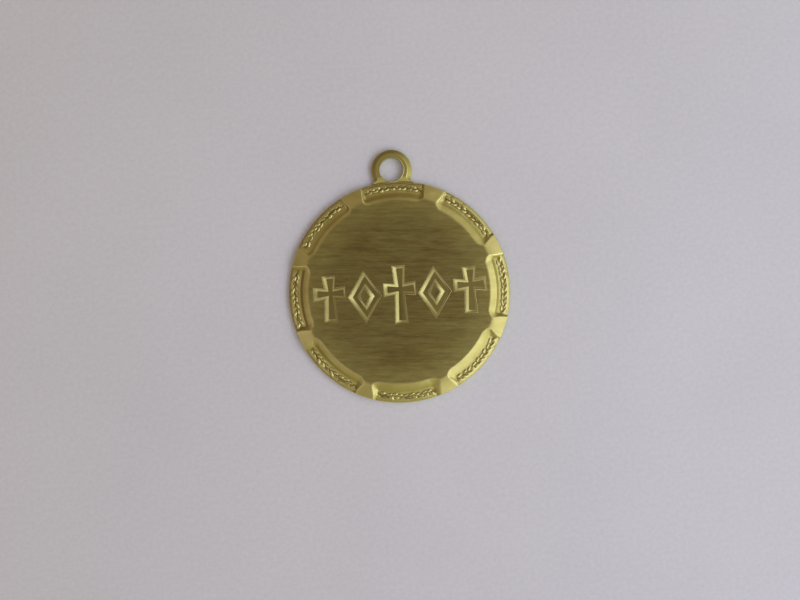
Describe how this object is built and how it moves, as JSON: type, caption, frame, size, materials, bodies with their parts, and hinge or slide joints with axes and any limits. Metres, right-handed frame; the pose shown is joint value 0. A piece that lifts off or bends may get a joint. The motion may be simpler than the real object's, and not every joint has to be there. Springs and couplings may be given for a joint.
{
  "type": "religious medal",
  "caption": "Round struck brass medal with a hanging eye, beaded panels sunk round its border and a sunk band of crosses and lozenges.",
  "frame": {"origin": "centre of the disc on its flat back, on which the medal lies face up", "axes": "+Z out of the struck face, +Y from the disc's centre to the hanging eye, +X to the right of the face"},
  "size_m": [0.025, 0.0286, 0.0012],
  "materials": {
    "struck_brass": "struck, brushed lengthwise and slightly tarnished",
    "eye_brass": "tumbled smooth"
  },
  "bodies": {
    "root": {"medal_disc": "struck_brass", "hanging_eye": "eye_brass"}
  },
  "joints": []
}
